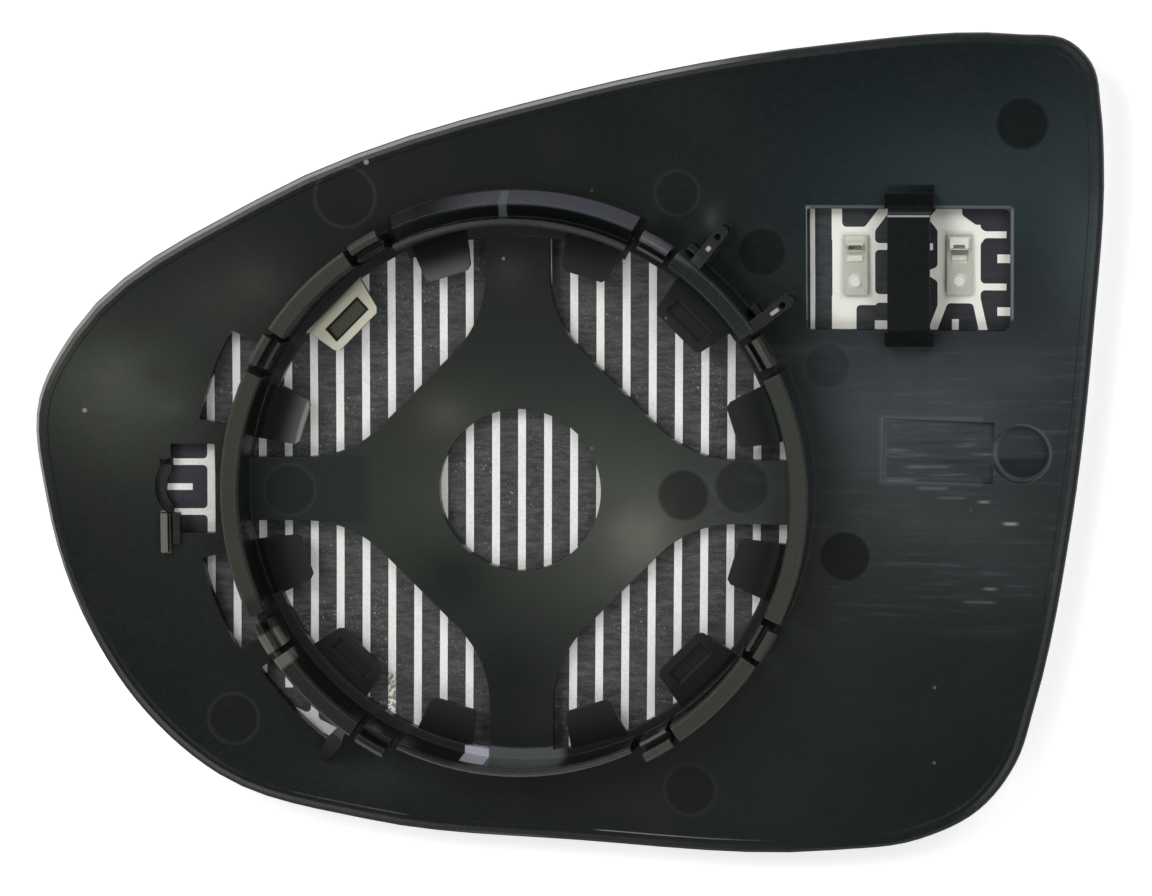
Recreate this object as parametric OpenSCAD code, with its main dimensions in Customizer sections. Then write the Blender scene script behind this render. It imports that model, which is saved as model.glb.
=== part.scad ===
// Heated door mirror glass, lying on its glass with the moulded back up.
// The origin is on the clip ring's axis, on the upper face of the dished sheet; +X is the wide end.

/* [Outline] */
// Reach of the outline from the ring axis to the narrow end
reach_left = 81.1; // [74:0.1:90]
// Reach of the outline from the ring axis to the wide end
reach_right = 95.7; // [92:0.1:105]
// Reach of the outline from the ring axis to the top edge
reach_up = 74.8; // [68:0.1:85]
// Reach of the outline from the ring axis to the bottom edge
reach_down = 59.4; // [57:0.1:70]
// Radius of the convex glass
dome_radius = 1260; // [900:20:2000]

/* [Layers] */
// Thickness of the moulded sheet
sheet_t = 2; // [1.6:0.1:2.6]
// Thickness of the adhesive between the sheet and the heater
plate_adhesive_t = 0.4; // [0.2:0.05:0.6]
// Thickness of the printed conductor
track_t = 0.1; // [0.08:0.01:0.2]
// Thickness of the heater film
film_t = 0.25; // [0.15:0.05:0.5]
// Thickness of the adhesive between the heater and the glass
glass_adhesive_t = 0.2; // [0.1:0.05:0.4]
// Thickness of the glass
glass_t = 2; // [1.6:0.1:3]
// Distance from the outline to the edge of the heater film
film_inset = 7; // [5:0.5:9]

/* [Rim] */
// Thickness of the rim's wall round the glass
rim_t = 1.3; // [1:0.1:1.8]
// Radius of the rim's rolled edge
rim_round = 1.5; // [1:0.1:2]
// Height of the rim's bead over the sheet
bead_h = 0.18; // [0.1:0.02:0.4]
// Gap between the glass edge and the rim
glass_gap = 0.2; // [0.1:0.05:0.4]
// Height of glass that stands out of the rim
glass_proud = 0.5; // [0.3:0.1:0.8]

/* [Web] */
// Radius of the round hole in the middle of the web
hole_r = 13.5; // [10:0.1:15]
// Width of the four arms
arm_w = 10.6; // [8:0.1:12]
// Distance from the axis to the four slanted sides of the hub
hub_flat = 23.8; // [22:0.1:26]
// Radius of the sweep from an arm to the hub
web_sweep = 18; // [10:0.5:20]

/* [Clip ring] */
// Radius of the round opening in the sheet
opening_r = 43.7; // [43:0.1:44.5]
// Inner radius of the clip ring's walls
wall_in_r = 45.6; // [45.2:0.1:46]
// Thickness of the clip ring's walls
wall_t = 3; // [2.6:0.1:3.2]
// Thickness of the thin walls at the top and the bottom
lip_t = 1.1; // [0.9:0.1:1.4]
// Height of the clip ring over the sheet
wall_h = 10; // [8:0.1:12]
// Half the angle of a long wall
long_half = 25; // [20:0.5:26]
// Half the angle of a short wall
short_half = 10.5; // [8:0.5:11]
// Angle from a diagonal to the hook beside it
hook_at = 15; // [14.5:0.1:15.5]
// Half the angle of a hook
hook_half = 3.1; // [2:0.1:3.3]
// Reach of a hook's barb past the wall
barb = 0.4; // [0.2:0.1:1]

/* [Spring tabs] */
// Length of a tab from its root to its free end
tab_l = 8.6; // [7.2:0.1:9.6]
// Thickness of a tab
tab_t = 1; // [0.8:0.1:1.4]
// Rise of a tab from its root to its free end
tab_rise = 2; // [1:0.1:3]
// Angle from an arm to the tab beside it
tab_at = 17.3; // [16.5:0.1:18]
// Half the width of a side tab at its root
side_tab_half = 5.2; // [4:0.1:5.4]
// Half the width of a diagonal tab at its root
diag_tab_half = 6.8; // [5.5:0.1:7.2]

/* [Terminals] */
// Left end of the terminal window
term_x = 47.8; // [47:0.1:50]
// Width of the terminal window
term_w = 33; // [32:0.1:35]
// Lower side of the terminal window
term_y = 26.9; // [26:0.1:28]
// Height of the terminal window
term_h = 19.8; // [19:0.1:21]
// Width of the strap over the terminals
strap_w = 6.8; // [6:0.1:8]
// Thickness of the strap
strap_t = 1.6; // [1.2:0.1:2]
// Height of the strap's upper face over the sheet
strap_h = 4.5; // [4.4:0.1:5.2]
// Width of a blade terminal
blade_w = 4; // [3.8:0.1:4.8]
// Length of a blade terminal
blade_l = 9.8; // [9:0.1:11]
// Thickness of a blade terminal
blade_t = 0.8; // [0.6:0.1:1]

/* [Heater tracks] */
// Distance between neighbouring stripes
track_pitch = 4.355; // [4.1:0.01:4.6]
// Width of a stripe
track_w = 1.3; // [0.9:0.05:1.6]
// Lean of the stripes
track_lean = 0.6; // [0:0.1:1]

/* [Hidden] */
plastic = [0.07, 0.075, 0.07];
silver = [0.9, 0.9, 0.88];
$fn = 96;

// The dish is lowest under the middle of the glass, so that the part lies level.
dome_x = 13;
dome_y = 5;
dome_fn = 256;
span_z = 30;

// Depths of the layers under the sheet's upper face
z_plate = sheet_t;
z_track = z_plate + plate_adhesive_t - track_t;
z_film = z_track + track_t;
z_bond = z_film + film_t;
z_glass = z_bond + glass_adhesive_t;
z_front = z_glass + glass_t;
rim_depth = z_front - glass_proud;

// The outline's points as shares of the reach on their side, clockwise from the wide end.
edge_shares = [
  [1, 0.733], [0.984, 0.357], [0.949, -0.076], [0.887, -0.588], [0.857, -0.741], [0.794, -0.875],
  [0.69, -0.963], [0.541, -1], [0.094, -0.987], [-0.324, -0.938], [-0.631, -0.816], [-0.783, -0.64],
  [-0.895, -0.412], [-0.985, -0.03], [-0.995, 0.203], [-0.922, 0.35], [-0.539, 0.642], [0.099, 0.881],
  [0.541, 0.98], [0.854, 1], [0.943, 0.984], [0.978, 0.939], [0.995, 0.836]
];
edge_steps = 6;

// Closed smooth curve through a list of points, each stretch a cubic with handles a third of its chord
function unit(v) = v / norm(v);
function at(p, i) = p[(i + len(p)) % len(p)];
function heading(p, i) =
  let (
    a = at(p, i) - at(p, i - 1),
    b = at(p, i + 1) - at(p, i)
  )
  unit(unit(a) * norm(b) + unit(b) * norm(a));
function cubic(a, b, c, d, t) =
  a * pow(1 - t, 3) + 3 * b * t * pow(1 - t, 2) + 3 * c * t * t * (1 - t) + d * pow(t, 3);
function smooth_loop(p, steps) = [
  for (i = [0:len(p) - 1])
    let (
      a = at(p, i),
      d = at(p, i + 1),
      handle = norm(d - a) / 3
    )
    for (k = [0:steps - 1])
      cubic(a, a + heading(p, i) * handle, d - heading(p, i + 1) * handle, d, k / steps)
];
function inward(p, i) =
  let (along = unit(at(p, i + 1) - at(p, i - 1)))
  [along[1], -along[0]];
function shrink(p, d) = [for (i = [0:len(p) - 1]) p[i] + inward(p, i) * d];
function reached(cut) = [
  for (s = edge_shares)
    [
      s[0] * ((s[0] > 0 ? reach_right : reach_left) - cut),
      s[1] * ((s[1] > 0 ? reach_up : reach_down) - cut)
    ]
];
outline = smooth_loop(reached(0), edge_steps);
film_outline = smooth_loop(reached(film_inset), 3);
function dish(p) = dome_radius - sqrt(pow(dome_radius, 2) - pow(p[0] - dome_x, 2) - pow(p[1] - dome_y, 2));

// Slice of the dished stack between two depths under the sheet's upper face, cut to a flat outline
module dome(depth) {
  translate([dome_x, dome_y, dome_radius])
    rotate([90, 0, 0])
      sphere(dome_radius + depth, $fn = dome_fn);
}
module layer(from, to) {
  difference() {
    intersection() {
      translate([0, 0, -span_z / 2])
        linear_extrude(span_z)
          children();
      dome(to);
    }
    dome(from);
  }
}

// Rolled rim, swept along the outline: [distance in from the outline, depth under the sheet's upper face]
bead_w = 0.7;
rim_root = rim_round + bead_w + 0.5;
sheet_inset = rim_round + 0.3;
rim_profile = concat(
  [[0, rim_depth]],
  [for (a = [0:30:90]) [rim_round * (1 - cos(a)), rim_round - bead_h - rim_round * sin(a)]],
  [
    [rim_round + bead_w, -bead_h],
    [rim_root, sheet_t * 0.25],
    [rim_root, sheet_t * 0.75],
    [rim_t, z_glass - 0.3],
    [rim_t, rim_depth]
  ]
);
module rim() {
  n = len(outline);
  m = len(rim_profile);
  rings = [
    for (q = rim_profile)
      let (loop = shrink(outline, q[0]))
      for (p = loop) [p[0], p[1], dish(p) - q[1]]
  ];
  polyhedron(
    rings,
    [
      for (j = [0:m - 1])
        for (i = [0:n - 1])
          let (
            a = j * n + i,
            b = j * n + (i + 1) % n,
            c = ((j + 1) % m) * n + (i + 1) % n,
            d = ((j + 1) % m) * n + i
          )
          each [[a, b, c], [a, c, d]]
    ]
  );
}

// Flat outline of the web: four arms that sweep into a square hub set on its corner
arm_end = wall_in_r + 0.6;
flat_sum = hub_flat * sqrt(2);
sweep_tan = web_sweep * tan(22.5);
function web_corner(turn) =
  let (
    c = [arm_w / 2 + web_sweep, flat_sum - arm_w / 2 + sweep_tan],
    side = [for (a = [180:5.625:225]) c + web_sweep * [cos(a), sin(a)]],
    far = [for (i = [len(side) - 1:-1:0]) [side[i][1], side[i][0]]],
    all = concat([[arm_w / 2, arm_end]], side, far, [[arm_end, arm_w / 2]])
  )
  [for (p = all) [p[0] * cos(turn) - p[1] * sin(turn), p[0] * sin(turn) + p[1] * cos(turn)]];
module web_outline() {
  polygon([for (q = [0:-90:-270]) each web_corner(q)]);
}

// Wall of the clip ring over an angle, from a profile of [radius, height]
module ring_piece(middle, half, profile) {
  rotate([0, 0, middle - half])
    rotate_extrude(angle = 2 * half)
      polygon(profile);
}
wall_out_r = wall_in_r + wall_t;
wall_foot = -0.3;
wall_edge = 0.4;
draft = 0.3;
function wall_profile(r, t) = [
  [r - draft, wall_foot], [r + t + draft, wall_foot], [r + t, wall_h - wall_edge],
  [r + t - wall_edge, wall_h], [r + wall_edge, wall_h], [r, wall_h - wall_edge]
];
hook_top = wall_h + 0.6;
hook_profile = [
  [wall_in_r - draft, wall_foot], [wall_out_r - 0.6, wall_foot], [wall_out_r - 0.6, hook_top - 3],
  [wall_out_r + barb, hook_top - 1.6], [wall_out_r + barb - 0.3, hook_top - 0.6], [wall_out_r + barb - 0.9, hook_top],
  [wall_in_r + 1.6, hook_top - 0.2], [wall_in_r + 1.4, hook_top - 3.4], [wall_in_r + 0.7, hook_top - 3.4],
  [wall_in_r + 0.6, hook_top - 1.9], [wall_in_r, hook_top - 2.1]
];
brace_profile = [
  [wall_out_r - 1, wall_foot], [wall_out_r + 1.2, wall_foot], [wall_out_r + 1, 1.6], [wall_out_r - 0.3, wall_h - 1.4],
  [wall_out_r - 1, wall_h - 1.4]
];
wide_brace_profile = [
  [wall_out_r - 1, wall_foot], [wall_out_r + 2.4, wall_foot], [wall_out_r + 2.2, 1.4], [wall_out_r, wall_h - 1.2],
  [wall_out_r - 1, wall_h - 1.2]
];
// The upper wall stands further in than the others, on a shelf, with a flange along its outer side
top_shift = -1.2;
top_shelf_r = 42.2;
flange_profile = [
  [wall_in_r - 0.5, wall_foot], [wall_in_r + 4.4, wall_foot], [wall_in_r + 4.2, 2.4], [wall_in_r + 2.4, 6],
  [wall_in_r - 0.5, 4.8]
];
shelf_profile = [
  [top_shelf_r, -0.5], [wall_in_r + 0.4, -0.5], [wall_in_r + 0.4, 0.9], [top_shelf_r, 0.7]
];
module clip_ring() {
  for (q = [0, 180])
    ring_piece(q, long_half, wall_profile(wall_in_r, wall_t));
  ring_piece(90, long_half, wall_profile(wall_in_r + top_shift, lip_t));
  ring_piece(90, long_half - 0.5, flange_profile);
  ring_piece(90, long_half, shelf_profile);
  ring_piece(270, long_half, wall_profile(wall_in_r - 0.3, lip_t));
  for (q = [45:90:315]) {
    ring_piece(q, short_half, wall_profile(wall_in_r, wall_t));
    for (s = [-1, 1])
      ring_piece(q + s * hook_at, hook_half, hook_profile);
  }
  ring_piece(180, long_half - 0.5, brace_profile);
  ring_piece(225, short_half - 1.5, wide_brace_profile);
}

// Spring tab on the edge of the opening, rising towards its free end
tab_root_r = wall_in_r + 0.3;
tab_tip_r = tab_root_r - tab_l;
tab_root_z = -0.6;
tab_corner = 0.7;
recess_w = 7.6;
recess_l = 2.7;
recess_deep = 0.5;
module spring_tab(angle, half, taper, recessed) {
  tip = half - taper;
  slope = atan2(tab_rise, tab_l);
  rotate([0, 0, angle])
    difference() {
      intersection() {
        translate([0, 0, -tab_l])
          linear_extrude(2 * tab_l)
            polygon([
              [tab_root_r, -half], [tab_root_r, half], [tab_tip_r + tab_corner, tip], [tab_tip_r, tip - tab_corner],
              [tab_tip_r, tab_corner - tip], [tab_tip_r + tab_corner, -tip]
            ]);
        rotate([90, 0, 0])
          linear_extrude(4 * half, center = true)
            polygon([
              [tab_root_r, tab_root_z], [tab_root_r, tab_root_z + tab_t],
              [tab_tip_r, tab_root_z + tab_rise + tab_t], [tab_tip_r, tab_root_z + tab_rise]
            ]);
      }
      if (recessed)
        translate([(tab_root_r + tab_tip_r) / 2 - 1.5, 0, tab_root_z + tab_t + tab_rise * 0.62])
          rotate([0, slope, 0])
            translate([-recess_l / 2, -recess_w / 2, -recess_deep])
              cube([recess_l, recess_w, recess_deep + 2]);
    }
}
module spring_tabs() {
  for (q = [0:90:270]) {
    spring_tab(q + 45, diag_tab_half, 1.7, true);
    for (s = [-1, 1])
      spring_tab(q + s * tab_at, side_tab_half, 1.3, false);
  }
}

// At both sides the opening reaches out to the walls
side_cut_half = 23;
module side_cuts(margin = 0) {
  r = wall_in_r - draft + margin;
  for (q = [0, 180])
    ring_piece(q, side_cut_half + margin, [[opening_r - 1, cut_low], [r, cut_low], [r, cut_low + cut_h], [opening_r - 1, cut_low + cut_h]]);
}

// Windows in the sheet, each made larger all round by a margin
slot_in_r = wall_out_r + 0.8;
slot_w = 5.4;
narrow_slot_w = 4;
cut_low = -4;
cut_h = 9;
window_round = 1.2;
sharp_round = 0.3;
module arc_window(from, to, width, margin) {
  more = margin / slot_in_r * 180 / PI;
  rotate([0, 0, from - more])
    translate([0, 0, cut_low])
      rotate_extrude(angle = to - from + 2 * more)
        translate([slot_in_r - margin, 0])
          square([width + 2 * margin, cut_h]);
}
module box_window(corner, size, round, margin) {
  translate([0, 0, cut_low])
    linear_extrude(cut_h)
      offset(r = round, $fn = 24)
        translate(corner + [1, 1] * (round - margin))
          square(size - 2 * [1, 1] * (round - margin));
}
bus_window_size = [7.4, 15];
bus_window_x = -slot_in_r - 1.7 - bus_window_size[0];
bulge_r = 4.2;
bulge_x = bus_window_x + bulge_r - 1.1;
module windows(margin = 0) {
  arc_window(151, 167.8, slot_w, margin);
  arc_window(192.3, 209.5, slot_w, margin);
  arc_window(214.5, 233.5, narrow_slot_w, margin);
  box_window([bus_window_x, -bus_window_size[1] / 2], bus_window_size, sharp_round, margin);
  translate([bulge_x, 0, cut_low])
    cylinder(r = bulge_r + margin, h = cut_h, $fn = 64);
  box_window([term_x, term_y], [term_w, term_h], window_round, margin);
  box_window([term_x, term_y], [term_w / 2, term_h], sharp_round, margin);
}

// Strap over the terminals, with a sloping foot at each end
strap_x = term_x + term_w / 2 + 0.25;
strap_ramp = 2.4;
strap_foot = 2.2;
foot_wider = 0.6;
module strap() {
  y0 = term_y - strap_foot;
  y1 = term_y + term_h + strap_foot;
  flat_end = y1 - strap_ramp - 0.6;
  base = dish([strap_x, term_y + term_h / 2]) - 0.4;
  translate([strap_x - strap_w / 2, 0, base])
    rotate([90, 0, 90])
      linear_extrude(strap_w)
        polygon([
          [y0, 0], [y0 + strap_ramp, strap_h], [flat_end, strap_h], [y1, 0],
          [y1 - strap_foot, 0], [y1 - strap_foot, 0.4], [flat_end - 0.9, strap_h - strap_t],
          [y0 + strap_ramp + 0.9, strap_h - strap_t], [y0 + strap_foot, 0.4], [y0 + strap_foot, 0]
        ]);
  for (y = [y0 - 0.4, y1 - strap_foot + 0.2])
    translate([strap_x - strap_w / 2 - foot_wider, y, base - 0.4])
      cube([strap_w + 2 * foot_wider, strap_foot + 0.2, strap_h - 1.6]);
}

// Ear outside the ring: a radial fin with a round nose, a dimple on its crest and one cross rib near its root
ear_l = 7.6;
ear_t = 2;
ear_h = 7.5;
module ear(angle) {
  nose = wall_out_r + ear_l - ear_t / 2;
  rotate([0, 0, angle])
    difference() {
      union() {
        intersection() {
          translate([0, 0, wall_foot])
            linear_extrude(wall_h) {
              translate([wall_out_r - 1, -ear_t / 2])
                square([ear_l + 1 - ear_t / 2, ear_t]);
              translate([nose, 0])
                circle(r = ear_t / 2, $fn = 32);
            }
          translate([wall_out_r - 2, 10, 0])
            rotate([90, 0, 0])
              linear_extrude(20)
                polygon([[0, -1], [ear_l + 2, -1], [ear_l + 2, ear_h - 2], [ear_l * 0.7, ear_h], [0, wall_h - 1]]);
        }
        translate([wall_out_r + 1, -1.2, wall_foot])
          cube([1.1, 4, ear_h - 1]);
      }
      translate([nose - 1, 0, ear_h - 2.2])
        cylinder(r = 0.55, h = 5, $fn = 24);
    }
}

// Leaf-shaped fin at the lower left, its crest falling outwards
fin_l = 8.9;
fin_t = 2.6;
module buttress(angle, length) {
  rotate([0, 0, angle])
    intersection() {
      translate([wall_out_r - 1, 0, wall_foot])
        linear_extrude(wall_h)
          polygon([
            [0, -fin_t / 4], [length * 0.45, -fin_t / 2], [length * 0.8, -fin_t / 3], [length + 1, 0],
            [length * 0.8, fin_t / 3], [length * 0.45, fin_t / 2], [0, fin_t / 4]
          ]);
      translate([wall_out_r - 2, 5, 0])
        rotate([90, 0, 0])
          linear_extrude(10)
            polygon([[0, -1], [length + 3, -1], [length + 2, 1.5], [length * 0.35, wall_h - 1.5], [0, wall_h - 1]]);
    }
}

// Long recess with a round end in the sheet at the wide end
recess_at = [60.2, 7.4];
recess_size = [18, 10];
recess_end_r = 4.7;
recess_neck = 0.4;
module long_recess() {
  depth = 0.5;
  z = dish([recess_at[0] + recess_size[0] / 2, recess_at[1]]) - depth;
  translate([recess_at[0], recess_at[1], z])
    rotate([0, 0, -1.5]) {
      translate([0, -recess_size[1] / 2, 0])
        cube([recess_size[0], recess_size[1], 3]);
      translate([recess_size[0] + recess_end_r - recess_neck, 0, 0])
        cylinder(r = recess_end_r, h = 3);
    }
}

// Pocket round the bus window's bulge, and the two ribs below it
pocket_r = 5.2;
pocket_deep = 0.9;
module bus_pocket() {
  z = dish([bulge_x - pocket_r, 0]) - pocket_deep;
  for (y = [0, 0.8])
    translate([bulge_x - 0.6, y, z])
      cylinder(r = pocket_r, h = 3, $fn = 64);
}
bus_rib_w = 1.2;
module bus_ribs() {
  z = dish([bus_window_x, 0]) - 0.8;
  top = -pocket_r + 0.9;
  translate([bus_window_x - 1.6, top - 6.3, z])
    cube([bus_rib_w, 6.6, 2.4]);
  translate([bus_window_x + 0.3, top - 5, z])
    cube([bus_rib_w, 5.2, 1.6]);
}

module backing_plate() {
  color(plastic)
    union() {
      rim();
      difference() {
        layer(0, sheet_t)
          polygon(shrink(outline, sheet_inset));
        difference() {
          union() {
            translate([0, 0, -6])
              cylinder(r = opening_r, h = 14, $fn = 180);
            side_cuts();
          }
          translate([0, 0, -7])
            linear_extrude(16)
              web_outline();
        }
        translate([0, 0, -6])
          cylinder(r = hole_r, h = 14);
        windows();
        long_recess();
        bus_pocket();
      }
      clip_ring();
      spring_tabs();
      strap();
      ear(35.3);
      ear(51.5);
      buttress(233.6, fin_l);
      buttress(214.5, 3);
      bus_ribs();
    }
}

glass_inset = rim_t + glass_gap;
module mirror_glass() {
  color([0.75, 0.8, 0.85])
    layer(z_glass, z_front)
      polygon(shrink(outline, glass_inset));
}

module glass_adhesive() {
  color([0.85, 0.85, 0.8])
    layer(z_bond, z_glass)
      polygon(film_outline);
}

module heater_film() {
  color([0.25, 0.26, 0.27])
    layer(z_film, z_bond)
      polygon(film_outline);
}

// Adhesive under the sheet, open under the ring's opening and under each window, down to the printed tracks
bond_gap = 0.5;
module plate_adhesive() {
  color([0.2, 0.2, 0.2])
    difference() {
      layer(z_plate, z_track)
        polygon(film_outline);
      translate([0, 0, -8])
        cylinder(r = opening_r + bond_gap, h = 16);
      side_cuts(bond_gap);
      windows(bond_gap);
    }
}

// A straight track between two points
module track(a, b, w = track_w) {
  d = b - a;
  translate(a)
    rotate(atan2(d[1], d[0]))
      translate([0, -w / 2])
        square([norm(d), w]);
}

// Bus bar through a list of points, its ends a little past the first and the last
bus_w = 2;
module bus(p) {
  past = [bus_w / 2, 0];
  line = concat([p[0] - past], p, [p[len(p) - 1] + past]);
  up = [0, bus_w / 2];
  polygon(concat([for (q = line) q + up], [for (i = [len(line) - 1:-1:0]) line[i] - up]));
}

// Height limits of the stripes at a given x, from the film's own reaches
tracks_first = 2 * ceil(-(slot_in_r + 3.5) / (2 * track_pitch));
tracks_last = 2 * floor((reach_right - film_inset - 24) / (2 * track_pitch));
bus_top = reach_up - film_inset - 6;
bus_low = -(reach_down - film_inset - 4);
shoulder_y = 50;
foot_y = -47.8;
bend_x = 20;
foot_bend_x = -20;
finger_gap = 4;
function top_of(x) = x > bend_x ? bus_top : min(bus_top, shoulder_y + x * 0.35) - max(0, -x - bend_x) * 0.15;
function low_of(x) = x > foot_bend_x ? bus_low : foot_y + (foot_bend_x - x) * 0.5;
module stripe(k, from, to) {
  rotate(-track_lean)
    translate([k * track_pitch - track_w / 2, from])
      square([track_w, to - from]);
}

// Place in the terminal window from shares of its width and height; the shares may lie outside it
function in_window(u, v) = [term_x + u * term_w, term_y + v * term_h];
thin_w = 1.1;
arm_track_w = 1.4;
horn_w = 1.7;
pads_low_share = -0.298;
pads_low = in_window(0, pads_low_share)[1];
function in_pads(k) = k * track_pitch > term_x + track_w;
pad_a = in_window(0.225, 0.5);
pad_b = in_window(0.7455, 0.52);
blade_a = pad_a + [0.3, 0.6];
blade_b = pad_b + [0.1, 0.4];
pad_edge = 1.5;
pad_shift = 0.4;
module pad(place) {
  translate(place - [blade_w / 2 + pad_edge, blade_l / 2 + pad_edge - pad_shift])
    square([blade_w + 2 * pad_edge, blade_l + 2 * pad_edge]);
}

// Short bars in the bus window
bus_bar_y = 4.2;
bus_line_x = bus_window_x + bus_window_size[0] - 3;
bus_turn_x = bus_window_x - 5.5;

// Comb fed by the left blade: even stripes, joined along the lower edge of the film
module comb_a_outline() {
  for (k = [tracks_first:2:tracks_last])
    stripe(k, low_of(k * track_pitch), (in_pads(k) ? pads_low : top_of(k * track_pitch)) - finger_gap);
  bus([for (k = [tracks_first:2:tracks_last]) [k * track_pitch, low_of(k * track_pitch) + bus_w / 4]]);
  for (s = [-1, 1])
    track([tracks_first * track_pitch, s * bus_bar_y], [bus_window_x - thin_w / 2, s * bus_bar_y], thin_w);
  // Pad under the left blade, with its stubs
  pad(pad_a);
  track(in_window(0.177, pads_low_share), in_window(0.177, 0.25), blade_w);
  track(in_window(0.142, 0.76), in_window(0.142, 1.07), horn_w);
  track(in_window(0.29, 0.793), in_window(0.41, 1.056), horn_w);
  track(in_window(0.305, 0.682), in_window(0.617, 0.682), thin_w);
  track(in_window(0.305, 0.2525), in_window(0.455, 0.2525), arm_track_w);
  // Way round the right pad to its short fingers, and down to the first stripe past the window
  track(in_window(0.126, pads_low_share), in_window(1.072, pads_low_share), arm_track_w);
  track(in_window(1.054, pads_low_share), in_window(1.054, 0.6), arm_track_w);
  track(in_window(0.934, 0.586), in_window(1.054, 0.586), arm_track_w);
  track(in_window(0.934, 0.1515), in_window(1.054, 0.1515), arm_track_w);
  track(in_window(0.7275, pads_low_share), in_window(0.7275, 0.086), thin_w);
  track(in_window(0.156, pads_low_share), [in_window(0.156, 0)[0], pads_low - 2 * finger_gap], bus_w);
}

// Comb fed by the right blade: odd stripes, joined along the upper edge of the film
last_long_stripe = 2 * floor((term_x + thin_w) / (2 * track_pitch) + 0.5) - 1;
module comb_b_outline() {
  odd = [tracks_first + 1:2:last_long_stripe];
  for (k = odd)
    stripe(k, low_of(k * track_pitch) + finger_gap, top_of(k * track_pitch));
  bus(
    concat(
      [for (k = odd) [k * track_pitch, top_of(k * track_pitch) - bus_w / 4]],
      [[in_window(0.7365, 0)[0], bus_top - bus_w / 4]]
    )
  );
  // Bus at the narrow end with its short finger
  first_x = (tracks_first + 1) * track_pitch;
  turn = [bus_turn_x, bus_window_size[1] + 5];
  track([first_x, top_of(first_x) - bus_w / 2], turn, bus_w);
  track([bus_turn_x, turn[1] + bus_w / 2], [bus_turn_x, -bus_bar_y], bus_w);
  track([bus_turn_x, 0], [bus_line_x - 1.2 * thin_w, 0], thin_w);
  // Pad under the right blade, with its branches and legs
  pad(pad_b);
  polygon([
    in_window(0.593, 0.914), in_window(0.641, 1.005), in_window(0.641, 1.167), in_window(0.76, 1.167),
    in_window(0.76, 0.944), in_window(0.862, 0.823), in_window(0.862, 0.732), in_window(0.665, 0.763)
  ]);
  track(in_window(0.7, 1.066), [in_window(0.7, 0)[0], bus_top], bus_w);
  for (v = [0.783, 0.3535])
    track(in_window(0.814, v), in_window(0.979, v), thin_w);
  polygon([
    in_window(0.6587, 0.53), in_window(0.593, 0.485), in_window(0.425, 0.485),
    in_window(0.425, 0.444), in_window(0.593, 0.444), in_window(0.6587, 0.379)
  ]);
  track(in_window(0.683, 0.288), in_window(0.599, -0.076), arm_track_w);
  track(in_window(0.826, 0.288), in_window(0.874, -0.076), arm_track_w);
  track(in_window(0.329, 0.035), in_window(0.443, 0.035), arm_track_w);
  track(in_window(0.425, 0.066), in_window(0.425, -0.106), arm_track_w);
  track(in_window(0.407, -0.101), in_window(0.623, -0.101), arm_track_w);
}
// Printed edges run into each other with a small fillet
print_fillet = 0.7;
module printed() {
  offset(r = -print_fillet, $fn = 12)
    offset(delta = print_fillet)
      children();
}
module heater_comb_a() {
  color(silver)
    layer(z_track, z_film)
      printed()
        comb_a_outline();
}
module heater_comb_b() {
  color(silver)
    layer(z_track, z_film)
      printed()
        comb_b_outline();
}

// Blade terminal lying on its pad: pressed ridge across the middle, and at the upper end an eyelet or a raised lug
blade_lift = 0.02;
rivet_r = 0.9;
rivet_gap = 0.02;
rivet_at = 2.2;
ridge_at = 0.57;
ridge_size = [2.4, 0.9, 0.35];
eyelet_at = 0.8;
eyelet_size = [2.6, 1.5, 0.5];
slot_size = [1.9, 0.6];
lug_size = [3, 2, 0.8];
function blade_z(place) = dish(place) - z_track + blade_lift;
module blade_plate(place) {
  translate([place[0], place[1] - blade_l / 2, blade_z(place)])
    difference() {
      union() {
        translate([-blade_w / 2, 0, 0])
          cube([blade_w, blade_l, blade_t]);
        translate([-ridge_size[0] / 2, blade_l * ridge_at, 0])
          cube([ridge_size[0], ridge_size[1], blade_t + ridge_size[2]]);
        children();
      }
      translate([0, rivet_at, -1])
        cylinder(r = rivet_r + rivet_gap, h = 4, $fn = 32);
      translate([-slot_size[0] / 2, blade_l * eyelet_at - slot_size[1] / 2, -1])
        cube([slot_size[0], slot_size[1], 4]);
    }
}
module terminal_a() {
  color([0.8, 0.8, 0.76])
    blade_plate(blade_a)
      translate([-eyelet_size[0] / 2, blade_l * eyelet_at - eyelet_size[1] / 2, 0])
        cube([eyelet_size[0], eyelet_size[1], blade_t + eyelet_size[2]]);
}
module terminal_b() {
  color([0.8, 0.8, 0.76])
    blade_plate(blade_b)
      translate([-lug_size[0] / 2, blade_l - lug_size[1] - 0.5, 0])
        cube([lug_size[0], lug_size[1], blade_t + lug_size[2]]);
}
module terminal_rivets() {
  color([0.92, 0.92, 0.9])
    for (place = [blade_a, blade_b])
      translate([place[0], place[1] - blade_l / 2 + rivet_at, blade_z(place)])
        union() {
          cylinder(r = rivet_r, h = blade_t, $fn = 32);
          translate([0, 0, blade_t])
            cylinder(r1 = rivet_r + 0.35, r2 = rivet_r - 0.1, h = 0.4, $fn = 32);
        }
}

mirror_glass();
glass_adhesive();
heater_film();
heater_comb_a();
heater_comb_b();
plate_adhesive();
backing_plate();
terminal_a();
terminal_b();
terminal_rivets();
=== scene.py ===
"""Looks of the heated door mirror glass, seen from its moulded back."""

import math

import bpy
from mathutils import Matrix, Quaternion, Vector


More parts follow.
